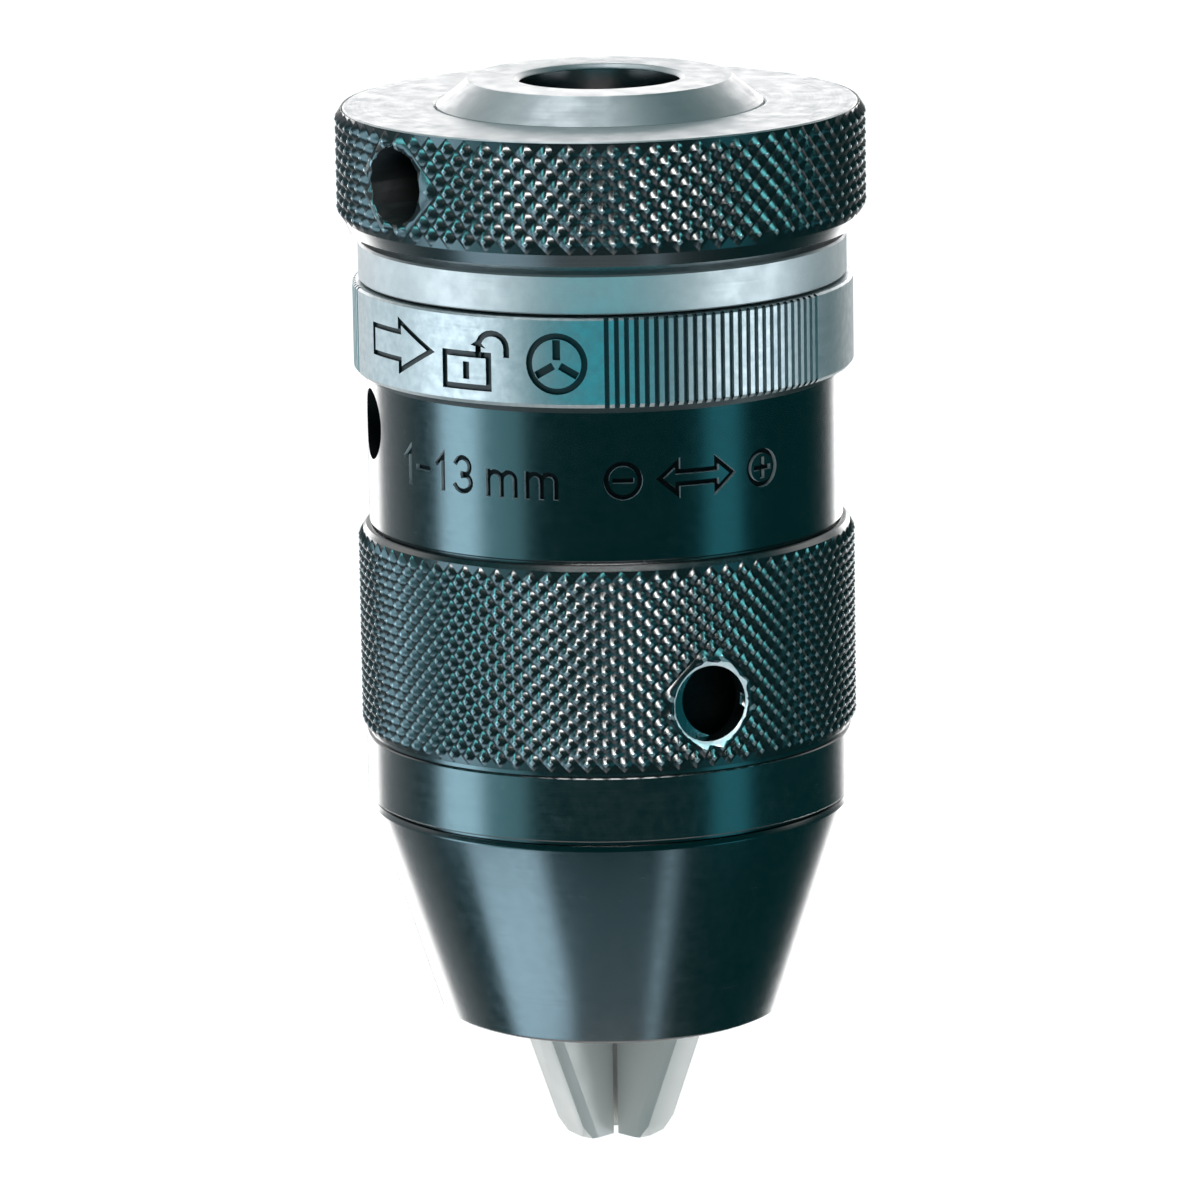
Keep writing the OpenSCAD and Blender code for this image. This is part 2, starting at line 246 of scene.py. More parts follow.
def pin_cutter(azimuth, out, radius, low, high, material):
    """A drill parallel to the axis."""
    bm = bmesh.new()
    bmesh.ops.create_cone(bm, cap_ends=True, segments=32, radius1=radius * MM, radius2=radius * MM,
                          depth=(high - low) * MM)
    turn = math.radians(azimuth)
    shift(bm, bm.verts, out * math.cos(turn), out * math.sin(turn), (low + high) / 2)
    return cutter_from(bm, material)


def recoat(piece, material, test):
    """Gives the faces that test picks, by centre and normal in mm, another finish."""
    piece.data.materials.append(material)
    index = len(piece.data.materials) - 1
    for face in piece.data.polygons:
        if test(face.center / MM, face.normal):
            face.material_index = index


def sharp_edges(mesh):
    return mesh.attributes.get("sharp_edge") or mesh.attributes.new("sharp_edge", "BOOLEAN", "EDGE")


WALL_SLACK = 0.03  # a point this far inside the wall's radius, or less, belongs to the wall


def round_wall(piece, radius):
    """Gives a cut cylindrical wall its true normals, so that marks leave no streaks in its gloss."""
    mesh = piece.data
    reach = [out_of(vert.co) for vert in mesh.vertices]
    limit = (radius - WALL_SLACK) * MM
    wall = [all(reach[index] > limit for index in face.vertices) for face in mesh.polygons]
    sides = {}
    for face in mesh.polygons:
        for corner in face.loop_indices:
            sides.setdefault(mesh.loops[corner].edge_index, set()).add(wall[face.index])
    sharp = sharp_edges(mesh)
    for edge, kinds in sides.items():
        if len(kinds) == 2:
            sharp.data[edge].value = True
    normals = [corner.vector.copy() for corner in mesh.corner_normals]
    for face in mesh.polygons:
        if wall[face.index]:
            for corner in face.loop_indices:
                place = mesh.vertices[mesh.loops[corner].vertex_index].co
                normals[corner] = Vector((place.x, place.y, 0.0)).normalized()
    mesh.normals_split_custom_set(normals)


VALLEY_SLACK = 0.02  # a point this close to the valleys' radius is in a valley


def round_crests(piece, wall, depth):
    """Shades a knurl as rounded crests between sharp valleys."""
    radius, low, high = wall
    mesh = piece.data
    sharp = sharp_edges(mesh)
    valley, slack = (radius - depth) * MM, VALLEY_SLACK * MM
    for edge in mesh.edges:
        ends = [mesh.vertices[index].co for index in edge.vertices]
        reach = [out_of(end) for end in ends]
        inside = all(low < end.z / MM < high for end in ends)
        if inside and min(reach) > valley - slack and max(reach) > valley + slack:
            sharp.data[edge.index].value = False


# level metal round a hook hole in a knurl: how far it reaches past the hole, and how deep its points lie
COLLAR = 0.40
COLLAR_VALLEY, COLLAR_CREST = 0.55, 0.40  # as shares of the knurl's depth


def knurled_ring(name, shell, wall, count, rows, depth, flat, hole, body, replaces, material):
    """A turned ring whose outer wall carries a diamond knurl.

    shell is the rest of the profile, from the wall's lower end round the inside to its upper end.
    wall is (radius, lower z, upper z). count diamonds go round, and rows half diamonds go up.
    Each diamond is a pyramid with a small flat on top, as wide as flat; round the hole it is pressed level.
    """
    radius, low, high = wall
    hole_at, hole_z, hole_r = hole
    bm = bmesh.new()
    steps = count * 2
    column, edges = wire(bm, [(radius, low + (high - low) * k / rows) for k in range(rows + 1)])
    spin_round(bm, column + edges, steps)
    half = 360.0 / steps
    tall = (high - low) / rows
    valleys, peaks = [], []
    for vert in bm.verts:
        across = round(azimuth_of(vert) / half)
        up = round((vert.co.z / MM - low) / tall)
        odd = (across + up) % 2
        aside = radius * math.sin(math.radians(azimuth_of(vert) - hole_at))
        near = math.hypot(aside, vert.co.z / MM - hole_z) < hole_r + COLLAR
        if near and vert.co.dot(toward(hole_at)) > 0:
            set_radius(vert, radius - depth * (COLLAR_VALLEY if odd else COLLAR_CREST))
        elif odd:
            valleys.append(vert)
            set_radius(vert, radius - depth)
        elif up in (0, rows):
            set_radius(vert, radius - depth)
        else:
            peaks.append(vert)
            set_radius(vert, radius + flat * 0.5)
    bmesh.ops.connect_verts(bm, verts=valleys, check_degenerate=False)
    bmesh.ops.bevel(bm, geom=peaks, offset=flat * MM, offset_type="OFFSET", segments=1, profile=0.5,
                    affect="VERTICES", material=-1)
    line, links = wire(bm, [(radius - depth, low), *shell, (radius - depth, high)])
    spin_round(bm, line + links, steps)
    return finish_piece(name, bm, body, replaces, material, KNURL_CREASE)


# one slot and one land: the slot's near edge, its floor's two ends and its far edge, as shares of the pitch
SLOT_COLUMNS = (0.0, 0.06, 0.44, 0.50)
SLACK = 0.01  # degrees or mm that a vertex may be off its round number


def fluted_ring(name, points, radius, count, zones, depth, body, replaces, material):
    """A turned ring with narrow axial slots round part of its outer wall.

    points is the whole profile and radius that of its outer wall. count slots would go all the way
    round; zones lists where they start, in degrees, and how many there are.
    """
    bm = bmesh.new()
    columns = len(SLOT_COLUMNS)
    turn_face(bm, outline(bm, points), count * columns)
    pitch = 360.0 / count
    for vert in bm.verts:
        if out_of(vert.co) / MM < radius - depth - SLACK:
            continue
        here = azimuth_of(vert)
        for start, slots in zones:
            place = ((here - start + SLACK) % 360.0) / pitch
            if place < slots:
                column = int(place * columns) % columns
                goal = (int(place) + SLOT_COLUMNS[column]) * pitch + start
                vert.co.rotate(Matrix.Rotation(math.radians(goal) - math.radians(here), 3, "Z"))
                if column in (1, 2):
                    set_radius(vert, radius - depth)
                break
    return finish_piece(name, bm, body, replaces, material, FLUTE_CREASE)


# ---------------------------------------------------------------- engraving

LINE = 0.5  # width of an engraved line
BOLD, BOLDER, BOLDEST = LINE * 1.2, LINE * 1.4, LINE * 1.5
FIGURE = 3.3  # height of the figures
MARK_DEEP = 0.42  # depth of the marks in the black sleeve
MITRE = 0.35  # cosine past which a corner's mitre grows no longer
LONG_EDGE = 0.8  # an edge longer than this is split before it is bent round a wall
PROUD = 0.5  # how far a mark's cutter stands out of the wall


def stroke(bm, path, width=LINE, closed=False):
    """A flat line of even width in the XY plane, with mitred corners and square ends."""
    count = len(path)
    rails = []
    for k, point in enumerate(path):
        here = Vector(point)
        before = Vector(path[k - 1]) if k or closed else None
        after = Vector(path[(k + 1) % count]) if k < count - 1 or closed else None
        into = (here - before).normalized() if before is not None else (after - here).normalized()
        out = (after - here).normalized() if after is not None else into
        side_in, side_out = Vector((-into.y, into.x)), Vector((-out.y, out.x))
        miter = (side_in + side_out).normalized()
        reach = width / 2 / max(MITRE, miter.dot(side_in))
        start = -into * width / 2 if before is None else Vector((0, 0))
        end = out * width / 2 if after is None else Vector((0, 0))
        rails.append([bm.verts.new((*(here + start + end + miter * reach * s), 0)) for s in (1, -1)])
    pairs = list(zip(rails, rails[1:])) + ([(rails[-1], rails[0])] if closed else [])
    for (a, b), (c, d) in pairs:
        face = bm.faces.new((b, a, c, d))
        face.normal_update()
        if face.normal.z < 0:
            face.normal_flip()


def ring_path(cx, cy, rx, ry, start, end, parts):
    """Points along part of an oval, from one angle to another."""
    turns = [math.radians(start + (end - start) * k / parts) for k in range(parts + 1)]
    return [(cx + rx * math.cos(turn), cy + ry * math.sin(turn)) for turn in turns]


def wrap_cutter(bm, radius, azimuth, z, depth, material):
    """Lays a flat mark round a wall as a cutter: X runs to the right round the wall, Y up it."""
    for _ in range(2):
        long_edges = [e for e in bm.edges if abs(e.verts[0].co.x - e.verts[1].co.x) > LONG_EDGE]
        if long_edges:
            bmesh.ops.subdivide_edges(bm, edges=long_edges, cuts=1, use_grid_fill=True)
    bmesh.ops.triangulate(bm, faces=bm.faces)
    for vert in bm.verts:
        vert.co.z = -depth
    raised = bmesh.ops.extrude_face_region(bm, geom=list(bm.faces))
    tops = [g for g in raised["geom"] if isinstance(g, bmesh.types.BMVert)]
    bmesh.ops.translate(bm, verts=tops, vec=(0, 0, depth + PROUD))
    for vert in bm.verts:
        turn = math.radians(azimuth) + vert.co.x / radius
        out = (radius + vert.co.z) * MM
        vert.co = Vector((out * math.cos(turn), out * math.sin(turn), (z + vert.co.y) * MM))
    return cutter_from(bm, material, "mark")


# ---------------------------------------------------------------- materials

def srgb(code):
    """A hex colour as linear RGBA."""
    parts = [int(code[i:i + 2], 16) / 255 for i in (1, 3, 5)]
    return tuple(c / 12.92 if c <= 0.04045 else ((c + 0.055) / 1.055) ** 2.4 for c in parts) + (1.0,)


def add(tree, kind, settings=None, links=None):
    """Adds a node, sets its properties or socket values, and links its inputs."""
    node = tree.nodes.new(kind)
    for key, value in (settings or {}).items():
        if isinstance(key, str) and hasattr(node, key):
            setattr(node, key, value)
        else:
            node.inputs[key].default_value = value
    for key, source in (links or {}).items():
        tree.links.new(source, node.inputs[key])
    return node


def new_material(name, colour, metallic, roughness, ior=1.5):
    material = bpy.data.materials.new(name)
    material.use_nodes = True
    shader = material.node_tree.nodes["Principled BSDF"]
    shader.inputs["Base Color"].default_value = srgb(colour)
    shader.inputs["Metallic"].default_value = metallic
    shader.inputs["Roughness"].default_value = roughness
    shader.inputs["IOR"].default_value = ior
    return material, material.node_tree, shader


def ramp(tree, source, stops):
    node = add(tree, "ShaderNodeValToRGB", links={"Fac": source})
    elements = node.color_ramp.elements
    for k, (place, level) in enumerate(stops):
        element = elements[k] if k < 2 else elements.new(place)
        element.position = place
        element.color = level if isinstance(level, tuple) else (level, level, level, 1.0)
    return node.outputs["Color"]


def radius_of(tree, place):
    """Distance from the spindle axis, in metres."""
    flat = add(tree, "ShaderNodeVectorMath", {"operation": "MULTIPLY", 1: (1.0, 1.0, 0.0)}, {0: place})
    return add(tree, "ShaderNodeVectorMath", {"operation": "LENGTH"}, {0: flat.outputs[0]}).outputs["Value"]


def turning_marks(tree, place, pitch):
    """Rings left by a lathe tool: noise that changes along the profile and barely round it."""
    far = radius_of(tree, place)
    up = add(tree, "ShaderNodeSeparateXYZ", links={0: place}).outputs["Z"]
    spot = add(tree, "ShaderNodeCombineXYZ", links={"X": far, "Z": up}).outputs[0]
    slow = add(tree, "ShaderNodeVectorMath", {"operation": "SCALE", "Scale": 0.012}, {0: place}).outputs[0]
    both = add(tree, "ShaderNodeVectorMath", {"operation": "ADD"}, {0: spot, 1: slow}).outputs[0]
    return add(tree, "ShaderNodeTexNoise", {"Scale": 1.0 / (pitch * MM), "Detail": 3.0, "Roughness": 0.6},
               {"Vector": both}).outputs["Fac"]


GRAIN_HIGH = 0.00001  # height of tool marks, scratches and grain, in metres


def turned_metal(name, colour, tint, metallic, roughness, pitch, marks, blotch, ior=1.5):
    """Lathe-turned finish: rings of the given pitch in mm, and soft blotches in colour and gloss.

    tint is the colour of the blotches, blotch their size in mm, and marks the strength of the rings.
    """
    material, tree, shader = new_material(name, colour, metallic, roughness, ior)
    place = add(tree, "ShaderNodeTexCoord").outputs["Object"]
    rings = turning_marks(tree, place, pitch)
    patch = add(tree, "ShaderNodeTexNoise", {"Scale": 1.0 / (blotch * MM), "Detail": 4.0, "Roughness": 0.6},
                {"Vector": place}).outputs["Fac"]
    gloss = add(tree, "ShaderNodeMix", {"data_type": "FLOAT", 0: 0.45}, {2: patch, 3: rings}).outputs[0]
    tree.links.new(ramp(tree, gloss, [(0.32, roughness * 0.82), (0.68, min(1.0, roughness * 1.22))]),
                   shader.inputs["Roughness"])
    tone = ramp(tree, patch, [(0.35, srgb(colour)), (0.65, srgb(tint))])
    tree.links.new(tone, shader.inputs["Base Color"])
    bump = add(tree, "ShaderNodeBump", {"Strength": marks, "Distance": GRAIN_HIGH}, {"Height": rings})
    tree.links.new(bump.outputs[0], shader.inputs["Normal"])
    return material


# Black oxide on turned steel: a thin magnetite skin, near black with a faint blue-green cast, and satin
# from the oil in it.
black_turned = turned_metal("black oxide on turned steel", "#020607", "#060B0C",
                            metallic=0.0, roughness=0.225, pitch=0.12, marks=0.10, blotch=1.1, ior=2.42)
# Bright turned steel, lightly oiled: pale grey metal with fine tool rings.
bright_turned = turned_metal("bright turned steel", "#E2E4E4", "#D8DADB",
                             metallic=0.86, roughness=0.48, pitch=0.10, marks=0.2, blotch=2.2)
# Satin nickel plate over turned steel: a pale, slightly soft metal with faint mottling.
satin_nickel = turned_metal("satin nickel plate", "#D8DEDF", "#C8D0D2",
                            metallic=1.0, roughness=0.42, pitch=0.16, marks=0.15, blotch=0.9)

KNURL_SKIN, KNURL_BARE = "#05090A", "#A9B4B8"  # oxide in the grooves, and steel where the crests are rubbed
WEAR_FROM, WEAR_TO = 0.17, 0.04  # how far below the crest wear begins, and is full


def knurl_metal(name, crest, worn):
    """Black oxide over a cut knurl: dark in the grooves, with the skin rubbed thin on the crests."""
    material, tree, shader = new_material(name, KNURL_SKIN, 0.0, 0.24, 1.9)
    place = add(tree, "ShaderNodeTexCoord").outputs["Object"]
    far = radius_of(tree, place)
    # wear comes and goes over about 2.4 mm
    rub = add(tree, "ShaderNodeTexNoise", {"Scale": 420.0, "Detail": 3.0}, {"Vector": place}).outputs["Fac"]
    band = {"From Min": (crest - WEAR_FROM) * MM, "From Max": (crest - WEAR_TO) * MM}
    raised = add(tree, "ShaderNodeMapRange", band, {"Value": far}).outputs[0]
    patchy = add(tree, "ShaderNodeMath", {"operation": "MULTIPLY"}, {0: raised, 1: rub}).outputs[0]
    wear = add(tree, "ShaderNodeMapRange", {"From Min": 0.15, "From Max": 0.55, "To Max": worn},
               {"Value": patchy}).outputs[0]
    tone = add(tree, "ShaderNodeMix", {"data_type": "RGBA", 6: srgb(KNURL_SKIN), 7: srgb(KNURL_BARE)},
               {0: wear}).outputs[2]
    tree.links.new(tone, shader.inputs["Base Color"])
    tree.links.new(wear, shader.inputs["Metallic"])
    # tool grain about 0.4 mm apart, coarser than the real one so that it shows
    fine = {"Scale": 2600.0, "Detail": 2.0}
    grain = add(tree, "ShaderNodeTexNoise", fine, {"Vector": place}).outputs["Fac"]
    bump = add(tree, "ShaderNodeBump", {"Strength": 0.25, "Distance": GRAIN_HIGH}, {"Height": grain})
    tree.links.new(bump.outputs[0], shader.inputs["Normal"])
    return material


# Black oxide over knurled steel; the crests are worn towards bare metal.
coarse_knurl = knurl_metal("black oxide on coarse knurl", HOLD_WALL[0], 0.75)
fine_knurl = knurl_metal("black oxide on fine knurl", FRONT_WALL[0], 0.75)


def ground_metal(name, colour, roughness, along, grain, strength, metallic=1.0):
    """Ground finish: fine straight scratches, grain mm wide, along the axis whose scale in along is small."""
    material, tree, shader = new_material(name, colour, metallic, roughness)
    place = add(tree, "ShaderNodeTexCoord").outputs["Object"]
    stretch = add(tree, "ShaderNodeMapping", {"Scale": along}, {"Vector": place}).outputs[0]
    lines = add(tree, "ShaderNodeTexNoise", {"Scale": 1.0 / (grain * MM), "Detail": 4.0, "Roughness": 0.65},
                {"Vector": stretch}).outputs["Fac"]
    # duller and glossier patches about 2.6 mm across
    patch = add(tree, "ShaderNodeTexNoise", {"Scale": 380.0, "Detail": 3.0}, {"Vector": place}).outputs["Fac"]
    both = add(tree, "ShaderNodeMix", {"data_type": "FLOAT", 0: 0.5}, {2: lines, 3: patch}).outputs[0]
    gloss = ramp(tree, both, [(0.3, roughness * 0.8), (0.7, roughness * 1.25)])
    tree.links.new(gloss, shader.inputs["Roughness"])
    bump = add(tree, "ShaderNodeBump", {"Strength": strength, "Distance": GRAIN_HIGH}, {"Height": lines})
    tree.links.new(bump.outputs[0], shader.inputs["Normal"])
    return material


# Hardened jaw steel, surface ground: bright, satin, with scratches along the axis.
ground_jaw = ground_metal("ground jaw steel", "#E6E6E4", 0.42,
                          along=(1.0, 1.0, 0.06), grain=0.10, strength=0.5, metallic=0.6)
# Hardened, ground steel of the hidden working parts: a clean grey metal with faint scratches.
ground_part = ground_metal("ground bearing steel", "#B8BCC0", 0.24,
                           along=(1.0, 1.0, 0.3), grain=0.2, strength=0.3)
# Rolled spring steel: smooth and a little darker.
spring_steel = ground_metal("rolled spring steel", "#9AA0A6", 0.3,
                            along=(1.0, 1.0, 0.2), grain=0.25, strength=0.2)
# Polished bearing balls: near mirror.
ball_polish = ground_metal("polished ball steel", "#D5D8DA", 0.08,
                           along=(1.0, 1.0, 1.0), grain=0.6, strength=0.05)
# Floor of a mark or slot in the plated ring: dark and dull, painted shade of the narrow groove.
groove_shade = turned_metal("painted groove shade", "#0C1A1D", "#132428",
                            metallic=0.2, roughness=0.45, pitch=0.12, marks=0.3, blotch=0.8, ior=1.8)
# Fresh cut, in a countersink or the side of a mark: bare steel where the tool broke the black skin.
edge_bright = turned_metal("bare cut edge", "#D6DEE2", "#C2CCD0",
                           metallic=0.45, roughness=0.40, pitch=0.10, marks=0.3, blotch=1.2)
# Black oxide over a rough tool finish, in a drilled hole or a deep mark, with its colour and gloss
# turned down to almost black and dull: painted shade of the hole's or the mark's depths.
bore_shade = turned_metal("black oxide darkened as painted shade", "#010203", "#020405",
                          metallic=0.0, roughness=0.65, pitch=0.2, marks=0.3, blotch=0.9, ior=1.35)
# Stamped brass of the ball cage: warm yellow, rolled finish.
cage_brass = ground_metal("rolled brass", "#C9A25C", 0.32,
                          along=(1.0, 1.0, 0.3), grain=0.3, strength=0.25)


# ---------------------------------------------------------------- core

hub = turned("hub", [
    # inside, from the mouth of the taper down to the end of the skirt
    (7.8665, -0.4), (7.255, -24.5), (4.0, -24.5), (4.0, -26.0), (8.08, -26.0), (8.08, -51.7), (8.88, -52.5),
    # outside, up past the bearing flange and the neck to the rear face
    (12.7, -52.5), (13.2, -52.0), (13.2, -42.45), (19.4, -42.45), (19.4, -37.95), (15.0, -37.95),
    (15.0, -14.6), (16.0, -14.6), (16.0, -2.5), (13.15, -0.2), (12.95, 0.0), (8.3, 0.0)],
    "core", bright_turned, "chuck_body", {0: 0.15, 16: 0.12, 18: 0.12})
# inside the taper the bright steel is given the black oxide finish: painted shade of the deep bore
recoat(hub, black_turned, lambda centre, normal: out_of(centre) < 8.0 and centre.z < -0.5)

cover = turned("cover_band", [
    (15.05, -14.65), (15.05, -19.35), (23.85, -19.35), (24.0, -19.2), (24.0, -15.7), (23.8, -15.5),
    (21.5, -15.5), (21.5, -14.65)], "core", bright_turned, "cover_ring")

holder = knurled_ring("knurled_holding_ring", [
    (24.8, -14.6), (16.05, -14.55), (16.05, -2.95), (25.1, -2.95), (25.25, -2.7)],
    HOLD_WALL, 76, 10, HOLD_DEPTH, 0.20, HOOK_HOLD, "core", "holding_ring", coarse_knurl)
# the hook hole is lined with bore_shade, painted shade
cut(holder, [hole_cutter(HOOK_HOLD, 18.5, HOOK_REACH, bore_shade)], KNURL_CREASE)
round_crests(holder, HOLD_WALL, HOLD_DEPTH)

# the holding ring's top face, turned bright after the ring was blackened
holder_top = turned("holding_ring_top_face", [
    (16.05, -2.9), (16.4, -2.5), (25.05, -2.5), (25.2, -2.65), (25.05, -2.9)],
    "core", bright_turned, "holding_ring")


# ---------------------------------------------------------------- rear sleeve

SMALL = FIGURE * 0.68  # height of a small letter


def digit_one(bm, x):
    stroke(bm, [(x, FIGURE * 0.74), (x + 0.8, FIGURE), (x + 0.8, 0.0)])


def digit_three(bm, x):
    upper, lower = FIGURE * 0.27, FIGURE * 0.26
    stroke(bm, ring_path(x + 0.95, FIGURE - upper, 0.85, upper, 155, -90, 14))
    stroke(bm, ring_path(x + 0.95, lower, 0.98, lower, 90, -155, 14))


def letter_m(bm, x):
    arch = 0.72
    stroke(bm, [(x, 0.0), (x, SMALL)])
    for left in (x, x + 2 * arch):
        stroke(bm, ring_path(left + arch, SMALL - arch, arch, arch, 180, 0, 8) + [(left + 2 * arch, 0.0)])


def capacity_mark():
    """The clamping range, 1-13 mm, in plain engraved figures."""
    bm = bmesh.new()
    digit_one(bm, 0.2)
    stroke(bm, [(2.2, FIGURE / 2), (3.8, FIGURE / 2)])
    digit_one(bm, 5.0)
    digit_three(bm, 7.3)
    letter_m(bm, 11.2)
    letter_m(bm, 15.3)
    return bm


def turning_mark():
    """Which way to turn the sleeve: minus opens, plus tightens, with an open two-headed arrow between."""
    bm = bmesh.new()
    middle = FIGURE / 2
    minus, plus, arm = middle, 16.4, 0.8
    for centre in (minus, plus):
        stroke(bm, ring_path(centre, middle, middle, middle, 0, 345, 23), closed=True)
        stroke(bm, [(centre - arm, middle), (centre + arm, middle)])
    stroke(bm, [(plus, middle - arm), (plus, middle + arm)])
    left_tip, left_neck, right_neck, right_tip, head, shaft = 5.2, 7.0, 11.05, 12.85, 1.5, 0.6
    arrow = [(left_tip, 0), (left_neck, head), (left_neck, shaft), (right_neck, shaft),
             (right_neck, head), (right_tip, 0), (right_neck, -head), (right_neck, -shaft),
             (left_neck, -shaft), (left_neck, -head)]
    stroke(bm, [(x, middle + y) for x, y in arrow], closed=True)
    return bm


sleeve = turned("smooth_rear_sleeve", [
    (REAR_R, -29.05), (23.0, -28.45), (22.35, -28.45), (22.35, -19.95), (19.75, -19.95), (19.75, -28.0),
    (15.06, -28.0), (15.06, -32.6), (20.2, -32.6), (20.2, -50.8), (21.9, -50.8), (21.9, -43.65),
    (23.25, -43.65), (REAR_R, -43.5)],
    "sleeve", black_turned, "rear_sleeve", {0: 0.1, 13: 0.08})
REAR_MARKS_Z = -37.3  # foot of the figures
REAR_MARKS_BAND = (-39.5, -33.5)  # heights between which the sleeve has nothing but marks
MARK_EDGE = 0.02  # left out at the top and foot of a mark's side

cut(sleeve, [
    # the hook hole and the marks' floors are lined with bore_shade, painted shade
    hole_cutter(HOOK_REAR, 20.8, 26.0, bore_shade),
    # the pawl's window, the room for its spring, and its pin hole
    sector_cutter(18.7, REAR_R, PAWL_AT - 18, PAWL_AT + 13, -27.2, -21.2, black_turned),
    sector_cutter(18.7, 21.2, PAWL_AT + 12, PAWL_AT + 15, -25.5, -22.9, black_turned),
    pin_cutter(PAWL_AT, 20.95, 0.75, -29.0, -17.0, black_turned),
    # the snap ring's groove, in two halves
    sector_cutter(21.75, REAR_R, 0, 180, -21.05, -20.3, black_turned),
    sector_cutter(21.75, REAR_R, 180, 360, -21.05, -20.3, black_turned),
    # the holes of the detent ball and the stop pin
    hole_cutter((DETENT_AT, BOLT_Z, 0.75), 20.1, 24.0, black_turned),
    hole_cutter((STOP_AT, BOLT_Z, 0.75), 20.2, 24.0, black_turned),
    # the marks' floors are painted shade (bore_shade)
    wrap_cutter(capacity_mark(), REAR_R, 213.6, REAR_MARKS_Z, MARK_DEEP, bore_shade),
    wrap_cutter(turning_mark(), REAR_R, 270.0, REAR_MARKS_Z, MARK_DEEP, bore_shade)])


def side_of_mark(centre, normal):
    """Whether a face is the upright side of a mark in the black sleeve."""
    low, high = REAR_MARKS_BAND
    outward = Vector((centre.x, centre.y, 0)).normalized()
    return (REAR_R - MARK_DEEP + MARK_EDGE < out_of(centre) < REAR_R - MARK_EDGE and low < centre.z < high
            and abs(normal.dot(outward)) < 0.5)


recoat(sleeve, edge_bright, side_of_mark)
round_wall(sleeve, REAR_R)


# ---------------------------------------------------------------- front sleeve and nose

front = knurled_ring("knurled_front_sleeve", [
    # the smooth band below the knurl, the bore, and the chamfer above the knurl
    (23.8, -64.35), (23.8, -64.7), (24.0, -64.8), (24.1, -64.9), (24.1, -71.05), (23.95, -71.2),
    (23.2, -71.2), (23.2, -71.65), (21.95, -71.65),
    (21.95, -43.7), (23.0, -43.7), (23.0, -43.85), (23.6, -43.9), (23.75, -43.98)],
    FRONT_WALL, 85, 22, FRONT_DEPTH, 0.16, HOOK_FRONT, "sleeve", "front_sleeve", fine_knurl)
# above and below the knurl the sleeve is plain
recoat(front, black_turned, lambda centre, normal: centre.z < -64.3 or centre.z > -44.38)
COUNTERSINK = (*HOOK_FRONT, 4.85)  # widens to this radius
cut(front, [hole_cutter(HOOK_FRONT, 20.0, HOOK_REACH, black_turned),
            hole_cutter(COUNTERSINK, 23.85, 24.95, edge_bright)], KNURL_CREASE)
round_crests(front, FRONT_WALL, FRONT_DEPTH)


def jaw_bar(grow, down, up):
    """The inclined prism of one slideway at azimuth 0, grown all round by a gap."""
    tilt = math.radians(JAW_TILT)
    deep, side, half = JAW_DEEP * math.cos(tilt), JAW_SIDE * math.cos(tilt), JAW_HALF
    thin = half - (deep - side) * math.tan(math.radians(JAW_BACK))
    section = [(grow, -half - grow), (grow, half + grow), (-side, half + grow), (-deep - grow, thin + grow),
               (-deep - grow, -thin - grow), (-side, -half - grow)]
    bm = bmesh.new()
    face = bm.faces.new([bm.verts.new((x * MM, y * MM, -down * MM)) for x, y in section])
    raised = bmesh.ops.extrude_face_region(bm, geom=[face])
    tops = [g for g in raised["geom"] if isinstance(g, bmesh.types.BMVert)]
    shift(bm, tops, 0, 0, down + up)
    swing(bm, bm.verts, JAW_TILT, "Y")
    shift(bm, bm.verts, JAW_OUT, 0, NOSE_Z)
    return bm


def slideway_cutter(azimuth):
    bm = jaw_bar(WAY_GAP, WAY_DOWN, WAY_UP)
    swing(bm, bm.verts, azimuth)
    return cutter_from(bm, ground_part)


nose = turned("nose_cone", [
    (6.9, -77.05), (6.9, -92.6), (7.6, -93.3), (16.9, -93.3), (17.2, -93.05), (23.8, -72.15), (23.55, -71.7),
    (21.9, -71.7), (21.9, -51.0), (19.6, -51.0), (19.6, -77.05)],
    "sleeve", black_turned, "jaw_guide", {3: 0.18, 4: 0.12, 5: 0.08})
# the nose's own hook hole stands a little to the side, so a sliver of its ground stem shows in the sleeve's
NOSE_HOLE = (HOOK_FRONT[0] + 4.5, *HOOK_FRONT[1:])
# the floor of the nose's hook hole is painted shade (bore_shade)
cut(nose, [*map(slideway_cutter, JAW_AZIMUTHS), hole_cutter(NOSE_HOLE, 20.4, HOOK_REACH, bore_shade)])
recoat(nose, ground_part, lambda centre, normal: 21.5 < out_of(centre) < 21.95 and abs(normal.z) < 0.1)


# ---------------------------------------------------------------- jaws

EDGE_BREAK = 0.09


def softened_jaw(number):
    """The jaw with its ground edges broken."""
    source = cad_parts[f"jaw_{number}"]
    bm = bmesh.new()
    bm.from_mesh(source.data)
    bmesh.ops.remove_doubles(bm, verts=bm.verts, dist=1e-6)
    bmesh.ops.dissolve_limit(bm, angle_limit=math.radians(1.0), verts=bm.verts, edges=bm.edges)
    sharp = [e for e in bm.edges if len(e.link_faces) == 2 and e.calc_face_angle(0.0) > math.radians(12)]
    bmesh.ops.bevel(bm, geom=sharp, offset=EDGE_BREAK * MM, offset_type="OFFSET", segments=2, profile=0.5,
                    affect="EDGES", material=-1, clamp_overlap=True)
    piece = finish_piece(f"ground_jaw_{number}", bm, f"jaw_{number}", f"jaw_{number}", ground_jaw)
    return piece


jaws = [softened_jaw(n) for n in (1, 2, 3)]


# ---------------------------------------------------------------- release ring

def arrow_mark():
    """Which way the ring turns: a plain outlined arrow."""
    bm = bmesh.new()
    head, tail, neck, tip = 4.85 / 2, 2.7 / 2, 4.95, 9.5
    stroke(bm, [(0, tail), (neck, tail), (neck, head), (tip, 0), (neck, -head), (neck, -tail), (0, -tail)],
           closed=True)
    return bm


